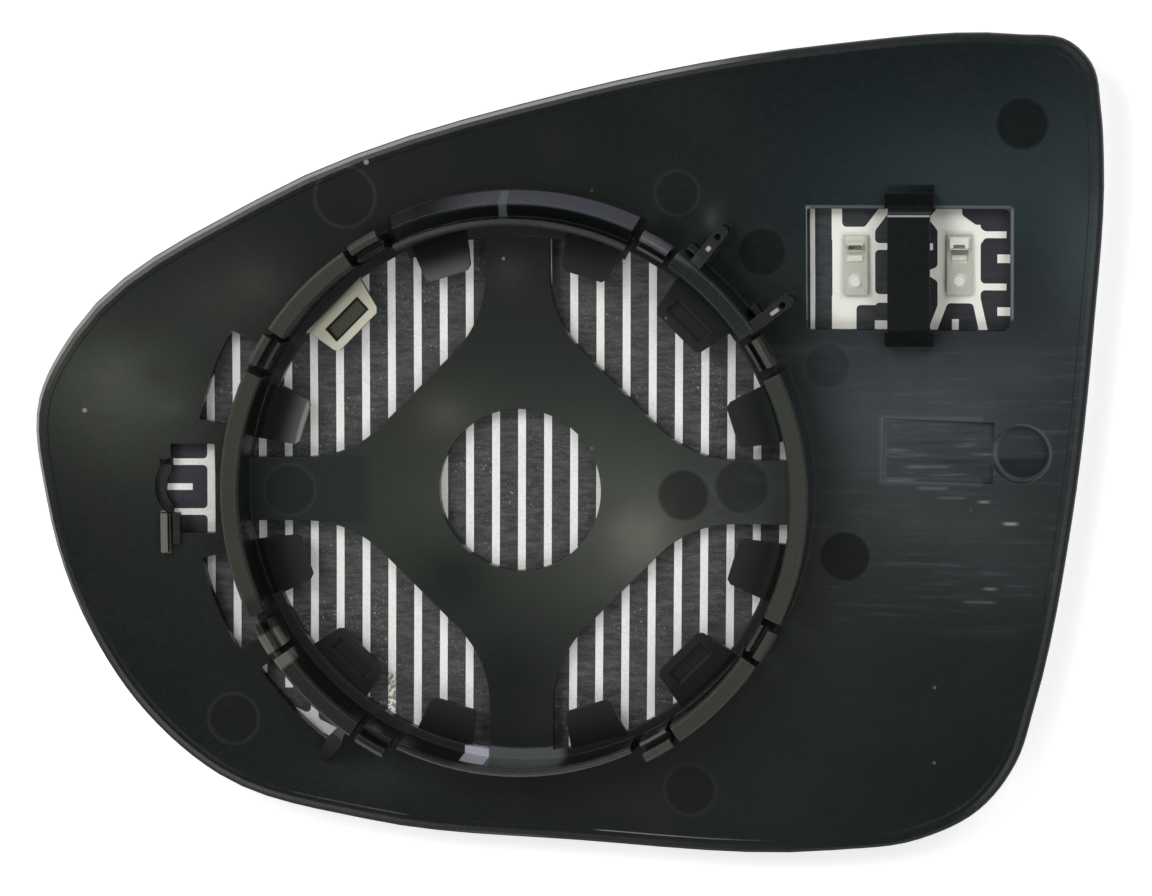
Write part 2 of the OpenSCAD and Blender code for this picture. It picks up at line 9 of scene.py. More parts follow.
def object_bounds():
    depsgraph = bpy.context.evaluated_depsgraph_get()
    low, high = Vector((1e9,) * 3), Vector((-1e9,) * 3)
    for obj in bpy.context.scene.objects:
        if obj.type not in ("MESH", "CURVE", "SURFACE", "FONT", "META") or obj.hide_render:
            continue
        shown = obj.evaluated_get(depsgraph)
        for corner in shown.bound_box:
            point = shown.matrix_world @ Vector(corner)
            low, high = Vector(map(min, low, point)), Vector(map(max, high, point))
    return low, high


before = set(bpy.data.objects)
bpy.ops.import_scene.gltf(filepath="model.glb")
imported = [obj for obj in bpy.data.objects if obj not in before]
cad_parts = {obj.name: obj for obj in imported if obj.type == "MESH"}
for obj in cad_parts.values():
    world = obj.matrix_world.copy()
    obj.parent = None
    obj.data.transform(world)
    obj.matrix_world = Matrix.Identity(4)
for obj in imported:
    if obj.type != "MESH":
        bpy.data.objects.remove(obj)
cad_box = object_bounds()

MM = 0.001
WHITE = (1.0, 1.0, 1.0)


# Node helpers
class Tree:
    """A material whose shader nodes are added by short calls, with the tint that its layers build up."""

    def __init__(self, name):
        self.material = bpy.data.materials.new(name)
        self.material.use_nodes = True
        self.nodes = self.material.node_tree.nodes
        self.links = self.material.node_tree.links
        self.shader = self.nodes["Principled BSDF"]
        self.tint = None

    def put(self, socket, value):
        """Link or set a socket, a colour of three numbers with full opacity."""
        if isinstance(value, bpy.types.NodeSocket):
            self.links.new(value, socket)
        elif isinstance(value, tuple) and socket.type == "RGBA":
            socket.default_value = (*value, 1.0)
        else:
            socket.default_value = value

    def math(self, operation, a, b=0.0, clamp=False):
        node = self.nodes.new("ShaderNodeMath")
        node.operation = operation
        node.use_clamp = clamp
        self.put(node.inputs[0], a)
        self.put(node.inputs[1], b)
        return node.outputs[0]

    def object_mm(self):
        """Object coordinates in millimetres, as a vector socket and its three parts."""
        coords = self.nodes.new("ShaderNodeTexCoord")
        scale = self.nodes.new("ShaderNodeVectorMath")
        scale.operation = "SCALE"
        self.links.new(coords.outputs["Object"], scale.inputs[0])
        scale.inputs["Scale"].default_value = 1.0 / MM
        split = self.nodes.new("ShaderNodeSeparateXYZ")
        self.links.new(scale.outputs[0], split.inputs[0])
        return scale.outputs[0], split.outputs[0], split.outputs[1], split.outputs[2]

    def true_normal(self):
        """The three parts of the surface's own normal."""
        geometry = self.nodes.new("ShaderNodeNewGeometry")
        split = self.nodes.new("ShaderNodeSeparateXYZ")
        self.links.new(geometry.outputs["True Normal"], split.inputs[0])
        return split.outputs[0], split.outputs[1], split.outputs[2]

    def noise(self, vector, scale, detail, roughness=0.55, stretch=None, distortion=0.0):
        if stretch is not None:
            mult = self.nodes.new("ShaderNodeVectorMath")
            mult.operation = "MULTIPLY"
            self.links.new(vector, mult.inputs[0])
            mult.inputs[1].default_value = stretch
            vector = mult.outputs[0]
        node = self.nodes.new("ShaderNodeTexNoise")
        self.links.new(vector, node.inputs["Vector"])
        node.inputs["Scale"].default_value = scale
        node.inputs["Detail"].default_value = detail
        node.inputs["Roughness"].default_value = roughness
        node.inputs["Distortion"].default_value = distortion
        return node.outputs["Fac"]

    def band(self, value, low, high, out_low=0.0, out_high=1.0):
        """Smooth step from out_low to out_high, which needs no clamp: each clamp fills Cycles' node stack."""
        node = self.nodes.new("ShaderNodeMapRange")
        node.interpolation_type = "SMOOTHSTEP"
        node.clamp = False
        self.put(node.inputs["Value"], value)
        node.inputs["From Min"].default_value = low
        node.inputs["From Max"].default_value = high
        node.inputs["To Min"].default_value = out_low
        node.inputs["To Max"].default_value = out_high
        return node.outputs["Result"]

    def fall(self, value, low, high):
        """1 under low, falling to 0 at high."""
        return self.band(value, low, high, 1.0, 0.0)

    def window(self, value, low, high, soft):
        """1 between low and high, falling to 0 over soft on each side."""
        up = self.band(value, low - soft, low)
        down = self.fall(value, high, high + soft)
        return self.math("MULTIPLY", up, down)

    def mix(self, factor, a, b):
        node = self.nodes.new("ShaderNodeMix")
        node.data_type = "RGBA"
        self.put(node.inputs[0], factor)
        self.put(node.inputs[6], a)
        self.put(node.inputs[7], b)
        return node.outputs[2]

    def cover(self, mask, colour):
        """Lay a colour over the tint where the mask is 1."""
        self.tint = self.mix(mask, self.tint, colour)

    def lay(self, mask, strength, colour):
        """Lay a colour over the tint at the given strength."""
        self.cover(self.math("MULTIPLY", mask, strength), colour)

    def bump(self, height, strength, distance, normal=None):
        node = self.nodes.new("ShaderNodeBump")
        self.put(node.inputs["Height"], height)
        node.inputs["Strength"].default_value = strength
        node.inputs["Distance"].default_value = distance
        if normal is not None:
            self.links.new(normal, node.inputs["Normal"])
        return node.outputs["Normal"]

    def edges(self, radius_mm):
        """Normal rounded over the edges, and a mask of the thin band along them."""
        bevel = self.nodes.new("ShaderNodeBevel")
        bevel.samples = 4
        bevel.inputs["Radius"].default_value = radius_mm * MM
        geometry = self.nodes.new("ShaderNodeNewGeometry")
        dot = self.nodes.new("ShaderNodeVectorMath")
        dot.operation = "DOT_PRODUCT"
        self.links.new(bevel.outputs[0], dot.inputs[0])
        self.links.new(geometry.outputs["True Normal"], dot.inputs[1])
        return bevel.outputs[0], self.fall(dot.outputs["Value"], 0.80, 0.97)

    def far(self, x, y, cx, cy):
        """Distance in the plan from a point."""
        dx = self.math("SUBTRACT", x, cx)
        dy = self.math("SUBTRACT", y, cy)
        squares = self.math("ADD", self.math("MULTIPLY", dx, dx), self.math("MULTIPLY", dy, dy))
        return self.math("SQRT", squares)

    def glow(self, x, y, spot):
        """Soft round patch: 1 at its middle, falling away over its two half widths."""
        cx, cy, wide, high = spot
        dx = self.math("DIVIDE", self.math("SUBTRACT", x, cx), wide)
        dy = self.math("DIVIDE", self.math("SUBTRACT", y, cy), high)
        squares = self.math("ADD", self.math("MULTIPLY", dx, dx), self.math("MULTIPLY", dy, dy))
        return self.math("POWER", self.math("ADD", squares, 1.0), -2.0)

    def polar(self, x, y):
        """Radius and angle in degrees about the ring's axis, the angle from -180 to 180."""
        turn = self.math("ARCTAN2", y, x)
        return self.far(x, y, 0.0, 0.0), self.math("MULTIPLY", turn, 180.0 / math.pi)

    def all_of(self, *masks):
        value = masks[0]
        for mask in masks[1:]:
            value = self.math("MULTIPLY", value, mask)
        return value

    def less(self, mask, share=1.0):
        """1 where the mask is 0, and 1 less the share where it is 1."""
        return self.math("SUBTRACT", 1.0, self.math("MULTIPLY", mask, share))

    def finish(self, roughness, normal=None):
        """Connect the tint, the roughness and the normal, and give the material back."""
        self.put(self.shader.inputs["Base Color"], self.tint)
        self.put(self.shader.inputs["Roughness"], roughness)
        if normal is not None:
            self.put(self.shader.inputs["Normal"], normal)
        return self.material


# Places on the plate, in millimetres and degrees about the ring's axis, and linear colours
# Painted sheen and painted shade, as soft patches: (x, y, half width, half height), strength, colour
SHEEN_AND_SHADE_PATCHES = [
    ((8.0, -3.0, 52.0, 26.0), 0.85, (0.0580, 0.0670, 0.0530)),
    ((-11.0, -15.0, 10.0, 9.0), 0.85, (0.0030, 0.0060, 0.0030)),
    ((-2.0, -33.0, 10.0, 13.0), 0.85, (0.0020, 0.0045, 0.0020)),
    ((-13.0, 12.0, 6.0, 5.0), 0.60, (0.0900, 0.0970, 0.0720)),
    ((21.0, -8.0, 9.0, 8.0), 0.75, (0.1750, 0.1800, 0.1500)),
    ((66.0, 13.0, 27.0, 18.0), 0.90, (0.0600, 0.0690, 0.0760)),
    ((70.0, -5.0, 17.0, 6.0), 0.45, (0.0700, 0.0790, 0.0790)),
    ((82.0, 20.0, 9.0, 4.5), 0.45, (0.0650, 0.0680, 0.0860)),
    ((93.0, 42.0, 9.0, 22.0), 0.90, (0.0500, 0.0620, 0.0670)),
    ((76.0, 50.0, 30.0, 16.0), 0.85, (0.0240, 0.0390, 0.0440)),
    ((-68.0, 17.0, 14.0, 12.0), 0.88, (0.0760, 0.0840, 0.0680)),
    ((-50.0, 31.0, 12.0, 9.0), 0.45, (0.0420, 0.0480, 0.0390)),
    ((-43.5, 34.0, 6.0, 5.0), 0.60, (0.0600, 0.0660, 0.0560)),
    ((-60.5, 19.0, 3.5, 2.5), 0.60, (0.0200, 0.0230, 0.0200)),
    ((-58.5, 13.5, 4.0, 2.2), 0.40, (0.0700, 0.0780, 0.0660)),
    ((-60.0, 6.0, 20.0, 9.0), 0.30, (0.0400, 0.0450, 0.0360)),
    ((82.0, -12.0, 16.0, 9.0), 0.45, (0.0400, 0.0480, 0.0500)),
    ((-24.0, -48.0, 14.0, 5.0), 0.45, (0.0260, 0.0320, 0.0360)),
    ((-1.3, 36.5, 4.0, 4.0), 0.40, (0.0520, 0.0580, 0.0480)),
    ((32.2, 44.8, 1.6, 2.2), 0.60, (0.0900, 0.1000, 0.1000)),
]
# Ejector marks on the sheet and the web: x, y, radius, how dark inside, how light the rim
MARKS = [
    (82.7, 60.5, 4.3, 0.95, 0.10),
    (40.4, 39.6, 4.0, 0.95, 0.15),
    (26.5, 49.2, 3.6, 0.25, 0.45),
    (-28.5, 48.6, 5.0, 0.30, 0.60),
    (51.0, 21.0, 3.8, 0.35, 0.70),
    (53.9, -10.4, 4.2, 0.95, 0.25),
    (28.2, -49.6, 4.2, 0.80, 0.30),
    (-48.5, -38.7, 4.2, 0.35, 0.45),
    (11.4, 37.9, 4.4, 0.40, 0.45),
    (-38.6, -0.2, 4.3, 0.35, 0.50),
    (27.2, -0.6, 4.3, 0.75, 0.45),
    (36.9, 0.9, 4.5, 0.60, 0.35),
]
# Light scuffs on the sheet: (x0, x1, y0, y1), strength
SCUFFS = [
    ((80.6, 81.3, -4.65, -4.50), 0.60),
    ((76.5, 76.8, -1.10, -1.00), 0.40),
    ((77.4, 77.9, -15.40, -15.30), 0.30),
    ((74.2, 77.8, -17.60, -17.50), 0.14),
    ((61.5, 64.5, 2.30, 2.40), 0.24),
    ((66.5, 70.0, 1.00, 1.10), 0.17),
    ((70.0, 73.0, -0.50, -0.45), 0.13),
]
# Single light specks: x, y, radius
SPECKS = [(-24.8, 54.3, 0.35), (-72.8, 13.1, 0.30), (-2.3, 38.4, 0.20)]
# Places on the ring: the ranges that Plate.place takes, strength, colour
RING_PLACES = [
    # Painted highlight on one hook at the lower left
    (dict(turn=(-150.5, -143.5, 0.8), away=(44.2, 49.0, 0.4), z_over=(6.0, 7.0)), 0.60, (0.17, 0.172, 0.15)),
    # Purple grey sheen on the upper wall's flange
    (dict(away=(47.9, 49.7, 0.5), turn=(62.0, 95.0, 14.0), z_over=(1.5, 2.2)), 0.80, (0.105, 0.108, 0.130)),
    # Painted shade in the groove behind the thin upper wall
    (dict(away=(45.7, 47.2, 0.3), turn=(62.0, 116.0, 3.0), z_under=(8.4, 9.2)), 0.80, (0.0045, 0.006, 0.006)),
    # Painted sheen on the top of the thin upper wall
    (dict(away=(43.9, 45.6, 0.2), turn=(64.0, 116.0, 2.0), z_over=(8.6, 9.2)), 0.85, (0.030, 0.033, 0.029)),
    # Light line across the flange
    (dict(away=(45.8, 49.6, 0.2), x=(-2.2, -1.0, 0.15), y_over=(1.0, 2.0)), 0.60, (0.150, 0.170, 0.165)),
    # Painted sheen on the end of the lower arm
    (dict(away=(43.4, 45.0, 0.5), turn=(-98.0, -82.0, 2.5)), 0.75, (0.130, 0.140, 0.140)),
    # White scrap of print beside the lower arm
    (dict(x=(-9.4, -5.6, 0.2), y=(-46.0, -43.0, 0.4), z_under=(7.0, 8.0)), 0.85, (0.52, 0.52, 0.60)),
]
# How dark and how light the ejector marks are as a whole
MARK_DEPTH = 0.88
MARK_LIGHT = 0.5
# Half widths of the four arms, for the paint on them and for the tabs and walls beside them
ARM_PAINT = 5.4
ARM_CLEAR = 5.2
DIAGONAL = math.sqrt(0.5)


# Plate plastic
class Plate(Tree):
    """The plate's material, with the measures and the masks that its painted places share."""

    def __init__(self):
        super().__init__("plate_plastic")
        self.vector, self.x, self.y, self.z = self.object_mm()
        self.rounded, self.edge = self.edges(0.25)
        self.away, self.turn = self.polar(self.x, self.y)
        self.normal_x, self.normal_y, self.up = self.true_normal()

    def place(self, within=None, **ranges):
        """Mask of a place that several ranges bound.

        A range is a window (low, high, soft) of the measure that it is named after. With _over behind the
        name it is a rise from 0 to 1 between two values, with _under a fall from 1 to 0.
        """
        masks = [] if within is None else [within]
        for name, limits in ranges.items():
            measure, _, kind = name.partition("_")
            shape = {"": self.window, "over": self.band, "under": self.fall}[kind]
            masks.append(shape(getattr(self, measure), *limits))
        return self.all_of(*masks)

    def tone_and_sheen(self):
        """Olive black to the left and on the web, bluish black to the right, with soft patches of painted
        sheen and painted shade.
        """
        side = self.band(self.x, 5.0, 50.0)
        self.tint = self.mix(side, (0.0030, 0.0056, 0.0040), (0.0020, 0.0056, 0.0064))
        # Painted sheen and painted shade: soft patches that stand for the light over the plate
        for spot, strength, colour in SHEEN_AND_SHADE_PATCHES:
            self.lay(self.glow(self.x, self.y, spot), strength, colour)
        cloud = self.noise(self.vector, scale=0.05, detail=3.0)
        self.cover(self.band(cloud, 0.42, 0.72, 0.0, 0.35), colour=(0.0160, 0.0175, 0.0145))

    def arms(self):
        """Bluish left arm, and the dull clouding on the right arm."""
        along = (-ARM_PAINT, ARM_PAINT, 0.5)
        left_arm = self.place(x=(-45.5, -27.0, 3.0), y=along)
        self.lay(left_arm, strength=0.6, colour=(0.0100, 0.0150, 0.0180))
        cloud = self.noise(self.vector, scale=0.35, detail=3.0, stretch=(0.5, 1.0, 1.0))
        right_arm = self.place(self.band(cloud, 0.45, 0.65), x=(33.0, 45.5, 4.0), y=along)
        self.lay(right_arm, strength=0.6, colour=(0.0520, 0.0570, 0.0650))

    def moulding(self):
        """Fine moulding streaks towards the wide end, the smear in the recess and a step in tone."""
        lengthways = (0.045, 1.0, 1.0)
        self.lines = self.noise(self.vector, scale=1.0, detail=6.0, roughness=0.62, stretch=lengthways)
        in_streaks = self.place(x=(54.0, 90.0, 10.0), y=(-18.0, 22.0, 8.0))
        self.streaks = self.math("MULTIPLY", self.band(self.lines, 0.52, 0.74), in_streaks)
        self.lay(self.streaks, strength=0.32, colour=(0.085, 0.095, 0.108))
        in_recess = self.place(x=(62.0, 77.0, 2.0), y=(3.5, 11.0, 1.0))
        smear = self.noise(self.vector, scale=1.0, detail=4.0, roughness=0.6, stretch=(0.09, 1.0, 1.0))
        light = self.band(smear, 0.55, 0.70, 0.0, 0.55)
        self.cover(self.math("MULTIPLY", in_recess, light), colour=(0.130, 0.140, 0.150))
        dark = self.band(smear, 0.34, 0.46, 0.6, 0.0)
        self.cover(self.math("MULTIPLY", in_recess, dark), colour=(0.020, 0.022, 0.032))
        # The step is level with the lower side of the terminal window
        step = self.place(y=(23.2, 24.0, 0.5), x=(42.0, 92.0, 5.0))
        self.lay(step, strength=0.30, colour=(0.045, 0.052, 0.058))

    def marks(self):
        """Ejector marks and scuffs."""
        self.on_sheet = self.fall(self.z, 3.6, 4.4)
        for cx, cy, r, depth, light in MARKS:
            middle = self.far(self.x, self.y, cx, cy)
            disc = self.band(middle, r - 0.5, r + 0.2, depth * MARK_DEPTH, 0.0)
            self.cover(self.math("MULTIPLY", disc, self.on_sheet), colour=(0.0028, 0.0042, 0.0044))
            rim = self.math("MULTIPLY", self.window(middle, r - 0.1, r + 0.15, 0.35), light * MARK_LIGHT)
            self.cover(self.math("MULTIPLY", rim, self.on_sheet), colour=(0.046, 0.050, 0.048))
        for (x0, x1, y0, y1), strength in SCUFFS:
            scuff = self.place(x=(x0, x1, 1.3), y=(y0, y1, 0.35))
            self.lay(scuff, strength, colour=(0.340, 0.350, 0.360))

    def recess_light_and_shade(self):
        """Painted shade in the lower part of the round recess at the wide end, and painted highlights on its
        rim and on the rim of the shallow rectangle beside it.
        """
        middle = self.far(self.x, self.y, 82.9, 7.0)
        # Painted shade in the lower part of the round recess
        recess_shade = self.all_of(self.fall(middle, 3.9, 4.3), self.fall(self.y, 5.6, 6.4))
        self.lay(recess_shade, strength=0.8, colour=(0.0080, 0.0130, 0.0130))
        # Painted highlights on the rims of the round recess and of the rectangle
        round_rim_highlight = self.math("MULTIPLY", self.window(middle, 4.45, 4.55, 0.45), 0.42)
        outer = self.place(x=(60.0, 76.0, 0.8), y=(2.0, 12.5, 0.8))
        inner = self.place(x=(61.0, 77.6, 0.8), y=(3.1, 11.7, 0.8))
        frame_rim_highlight = self.math("MULTIPLY", self.math("SUBTRACT", outer, inner, clamp=True), 0.32)
        self.cover(self.math("MAXIMUM", round_rim_highlight, frame_rim_highlight), colour=(0.120, 0.130, 0.145))

    def window_light_and_shade(self):
        """Painted highlight: a light line round the terminal window. Painted shade: a near black line beside
        the bus window.
        """
        # Painted highlight along the edges of the terminal window
        left_line = self.place(x=(47.70, 48.15, 0.15), y=(28.6, 47.0, 0.3))
        right_line = self.place(x=(80.95, 81.30, 0.15), y=(29.2, 46.4, 0.8))
        top_line = self.place(y=(46.85, 47.20, 0.15), x=(48.0, 80.6, 0.8))
        lines = self.math("MAXIMUM", left_line, self.math("MULTIPLY", right_line, 0.75))
        lines = self.math("MAXIMUM", lines, self.math("MULTIPLY", top_line, 0.45))
        lines = self.all_of(lines, self.on_sheet, self.band(self.up, 0.6, 0.9))
        self.cover(lines, colour=(0.170, 0.185, 0.190))
        # Painted shade: a near black line beside the bus window
        bus_window_shade = self.place(self.on_sheet, x=(-60.3, -58.6, 0.2), y=(4.0, 4.8, 0.15))
        self.cover(bus_window_shade, colour=(0.001, 0.001, 0.001))

    def ring_and_tab_shading(self):
        """Painted shade lays the inner faces of the ring and the tabs near black; painted highlights light
        the free ends of the tabs at the upper left, with a light line along their ends.
        """
        ring_shade = self.place(away_over=(43.9, 44.3), away_under=(46.4, 46.9), z_under=(8.4, 9.2))
        clear = (-ARM_CLEAR, ARM_CLEAR, 0.2)
        on_arm = self.math("MAXIMUM", self.window(self.y, *clear), self.window(self.x, *clear))
        ring_shade = self.math("MULTIPLY", ring_shade, self.less(on_arm, share=0.6))
        # Painted shade on the inner faces of the ring
        self.lay(ring_shade, strength=0.75, colour=(0.0040, 0.0048, 0.0042))
        tabs = self.place(away_over=(36.3, 36.6), away_under=(45.0, 45.5), z_over=(0.8, 1.3))
        self.tabs = self.math("MULTIPLY", tabs, self.less(on_arm))
        # Painted shade: the tabs laid near black
        self.lay(self.tabs, strength=0.85, colour=(0.0040, 0.0050, 0.0052))
        # Painted highlights on the free ends of the tabs at the upper left and along their ends
        lit_free_end = self.place(self.tabs, away_under=(37.5, 41.5), turn=(100.0, 172.0, 2.0))
        self.lay(lit_free_end, strength=0.65, colour=(0.120, 0.128, 0.125))
        end_highlight = self.place(self.tabs, turn=(146.0, 172.0, 2.0), away=(37.0, 37.9, 0.4))
        self.lay(end_highlight, strength=0.7, colour=(0.260, 0.265, 0.240))

    def ring_top_sheen(self):
        """Painted sheen: olive grey tops of walls and hooks, darker at the lower left and the upper right."""
        # Painted sheen on the tops of the walls and hooks, less of it at the lower left and the upper right
        top = self.place(z_over=(8.6, 9.2), away_over=(43.0, 43.5), away_under=(49.8, 50.2))
        lower_left = self.math("MULTIPLY", self.window(self.turn, -157.0, -104.0, 3.0), 0.65)
        upper_right = self.math("MULTIPLY", self.window(self.turn, 36.0, 60.0, 3.0), 0.75)
        shade = self.math("SUBTRACT", self.math("SUBTRACT", 0.8, lower_left), upper_right)
        self.cover(self.math("MULTIPLY", top, shade), colour=(0.0430, 0.0450, 0.0350))

    def ears(self):
        """The ears and the leaf fin outside the ring are near black, the ears with a bright dash each."""
        ears = self.place(turn=(29.0, 57.0, 1.0), away_over=(48.5, 48.9))
        fins = self.math("MAXIMUM", ears, self.band(self.away, 50.0, 50.4))
        self.fins = self.place(fins, z_over=(2.2, 2.8), away_under=(58.0, 59.0))
        self.lay(self.fins, strength=0.95, colour=(0.0040, 0.0055, 0.0050))
        upper_dash = self.place(turn=(51.2, 51.7, 0.25), away=(51.7, 52.1, 0.35))
        lower_dash = self.place(turn=(35.0, 35.4, 0.25), away=(52.1, 53.2, 0.35))
        dashes = self.math("MULTIPLY", self.math("MAXIMUM", upper_dash, lower_dash), self.fins)
        self.lay(dashes, strength=0.85, colour=(0.420, 0.440, 0.390))

    def cream_tab_highlight(self):
        """Painted highlight: the tab at the upper left is painted cream where it catches the light, with
        painted shade towards one corner, and the recess in it olive inside a dark outline.
        """
        leftwards = self.math("MULTIPLY", self.x, -DIAGONAL)
        self.outward = self.math("ADD", leftwards, self.math("MULTIPLY", self.y, DIAGONAL))
        rightwards = self.math("MULTIPLY", self.x, DIAGONAL)
        self.across = self.math("ADD", rightwards, self.math("MULTIPLY", self.y, DIAGONAL))
        face = self.place(outward=(37.0, 43.4, 0.2), across=(-6.4, 6.4, 0.2))
        # Painted highlight: the cream face of the tab at the upper left
        cream = self.all_of(face, self.tabs, self.band(self.up, 0.80, 0.92))
        self.lay(cream, strength=0.95, colour=(0.64, 0.625, 0.50))
        # Painted shade across the highlight
        shaded = self.place(cream, across_over=(1.0, 6.0), outward_over=(41.0, 42.6))
        self.lay(shaded, strength=0.35, colour=(0.36, 0.35, 0.29))
        outline = self.place(face, outward=(38.75, 41.55, 0.12), across=(-3.8, 3.8, 0.12))
        self.cover(outline, colour=(0.010, 0.010, 0.006))
        recess = self.place(face, outward=(39.15, 41.15, 0.12), across=(-3.3, 3.3, 0.12))
        self.cover(recess, colour=(0.070, 0.074, 0.052))

    def strap(self):
        """Dark strap, with painted shade on its feet and a painted highlight along its upper edge, and a
        painted highlight on the top of the rib beside the bus window.
        """
        strap = self.place(x=(60.4, 68.4, 0.2), y=(24.5, 50.5, 0.2), z_over=(1.6, 2.2))
        self.lay(strap, strength=0.9, colour=(0.0042, 0.0068, 0.0060))
        # Painted shade on the sloping feet of the strap
        feet = self.math("MAXIMUM", self.band(self.y, 46.1, 46.4), self.fall(self.y, 27.0, 27.6))
        self.lay(self.math("MULTIPLY", strap, feet), strength=0.9, colour=(0.0005, 0.0012, 0.0015))
        # Painted highlight along the strap's upper edge
        edge = self.place(y=(45.70, 46.35, 0.15), x=(60.9, 68.1, 0.1), z_over=(1.2, 1.6))
        self.lay(edge, strength=0.9, colour=(0.400, 0.420, 0.470))
        # Painted highlight on the top of the rib beside the bus window
        rib_highlight = self.place(x=(-60.3, -58.8, 0.1), y=(-10.8, -3.8, 0.2), z_over=(1.4, 1.8))
        self.lay(rib_highlight, strength=0.8, colour=(0.170, 0.172, 0.155))

    def edge_highlights(self):
        """Painted highlights: thin light lines along the edges, stronger on the ring and the tabs."""
        near = self.place(away_over=(36.0, 36.4), away_under=(57.0, 58.0))
        high = self.math("MULTIPLY", near, self.band(self.z, 6.5, 8.0, 0.35, 1.0))
        # Painted highlights along the edges
        line = self.math("MULTIPLY", self.edge, self.math("ADD", 0.12, self.math("MULTIPLY", high, 0.55)))
        self.cover(line, colour=(0.110, 0.113, 0.098))

    def outer_rim(self):
        """Dark outer rim, with a thin white highlight towards the upper left."""
        leftwards = self.math("MULTIPLY", self.normal_x, -0.80)
        towards = self.math("ADD", leftwards, self.math("MULTIPLY", self.normal_y, 0.60))
        outer = self.band(self.away, 57.6, 58.4)
        self.slope = self.all_of(self.fall(self.up, 0.90, 0.97), outer)
        self.lay(self.slope, strength=0.9, colour=(0.0050, 0.0068, 0.0058))
        steep = self.window(self.up, 0.35, 0.80, 0.05)
        lit = self.band(towards, 0.25, 0.55)
        glint = self.all_of(steep, outer, lit, self.fall(self.x, 20.0, 45.0))
        self.lay(glint, strength=0.75, colour=(0.400, 0.410, 0.390))

    def dust(self):
        """Rare dust specks in a cell pattern, and the single ones."""
        voronoi = self.nodes.new("ShaderNodeTexVoronoi")
        self.links.new(self.vector, voronoi.inputs["Vector"])
        voronoi.inputs["Scale"].default_value = 0.16
        cell = self.nodes.new("ShaderNodeSeparateColor")
        self.links.new(voronoi.outputs["Color"], cell.inputs[0])
        rare = self.math("GREATER_THAN", cell.outputs[0], 0.90)
        specks = self.math("MULTIPLY", self.fall(voronoi.outputs["Distance"], 0.03, 0.06), rare)
        for cx, cy, r in SPECKS:
            middle = self.far(self.x, self.y, cx, cy)
            specks = self.math("MAXIMUM", specks, self.band(middle, r, r + 0.15, 2.5, 0.0))
        self.cover(self.math("MULTIPLY", specks, 0.30, clamp=True), colour=(0.30, 0.30, 0.28))

    def surface(self):
        """Satin surface, duller on fins, tabs and the outer slope, with a fine grain."""
        rough = self.band(self.noise(self.vector, scale=0.9, detail=4.0), 0.3, 0.7, 0.25, 0.30)
        rough = self.math("ADD", rough, self.math("MULTIPLY", self.streaks, 0.10))
        dull = self.math("MAXIMUM", self.fins, self.math("MAXIMUM", self.tabs, self.slope))
        rough = self.math("ADD", rough, self.math("MULTIPLY", dull, 0.34))
        fine = self.noise(self.vector, scale=5.0, detail=2.0)
        normal = self.bump(fine, 0.05, 0.03 * MM, self.rounded)
        normal = self.bump(self.lines, 0.10, 0.05 * MM, normal)
        self.shader.inputs["Specular IOR Level"].default_value = 0.34
        return self.finish(rough, normal)


def plate_material():
    plate = Plate()
    plate.tone_and_sheen()
    plate.arms()
    plate.moulding()
    plate.marks()
    plate.recess_light_and_shade()
    plate.window_light_and_shade()
    plate.ring_and_tab_shading()
    plate.ring_top_sheen()
    plate.ears()
    # Ring places: painted highlight, sheen and shade on the ring, a light line across the flange and a scrap
    # of print
    for ranges, strength, colour in RING_PLACES:
        plate.lay(plate.place(**ranges), strength, colour)
    plate.cream_tab_highlight()
    plate.strap()
    plate.edge_highlights()
    plate.outer_rim()
    plate.dust()
    return plate.surface()


# Heater, terminals, adhesives and glass
def film_material():
    t = Tree("heater_film")
    vector, x, y, _ = t.object_mm()
    lengthways = (0.22, 1.0, 1.0)
    wrinkle = t.noise(vector, scale=1.3, detail=6.0, roughness=0.68, stretch=lengthways, distortion=0.3)
    grain = t.noise(vector, scale=3.6, detail=4.0, roughness=0.7)
    t.tint = t.mix(t.band(wrinkle, 0.35, 0.68), (0.016, 0.018, 0.019), (0.066, 0.071, 0.070))
    t.cover(t.band(grain, 0.55, 0.72, 0.0, 0.8), colour=(0.18, 0.19, 0.18))
    t.cover(t.band(grain, 0.28, 0.42, 0.7, 0.0), colour=(0.009, 0.010, 0.012))
    # Bright specks in clusters
    cluster = t.band(t.noise(vector, scale=0.11, detail=2.0), 0.50, 0.66, 0.15, 1.0)
    cluster = t.math("MAXIMUM", cluster, t.glow(x, y, (-22.0, 31.5, 5.0, 7.0)))
    crumbs = t.band(t.noise(vector, scale=2.1, detail=3.0, roughness=0.75), 0.60, 0.68)
    t.lay(t.math("MULTIPLY", crumbs, cluster), strength=0.75, colour=(0.42, 0.43, 0.42))
    # Bluish black in the terminal window and the bus window
    terminal_window = t.math("MULTIPLY", t.band(x, 45.5, 46.5), t.band(y, 22.0, 24.0))
    left_part = t.mix(t.band(wrinkle, 0.35, 0.65), (0.014, 0.018, 0.021), (0.034, 0.040, 0.043))
    right_part = t.mix(t.band(wrinkle, 0.35, 0.65), (0.007, 0.008, 0.012), (0.018, 0.019, 0.026))
    t.cover(terminal_window, t.mix(t.band(x, 54.0, 66.0), left_part, right_part))
    bus_window = t.math("MULTIPLY", t.fall(x, -51.6, -51.2), t.window(y, -9.0, 11.0, 1.5))
    t.lay(bus_window, strength=0.8, colour=(0.012, 0.013, 0.022))
    normal = t.bump(grain, 0.3, 0.06 * MM, t.bump(wrinkle, 0.22, 0.20 * MM))
    return t.finish(t.band(grain, 0.3, 0.7, 0.45, 0.7), normal)


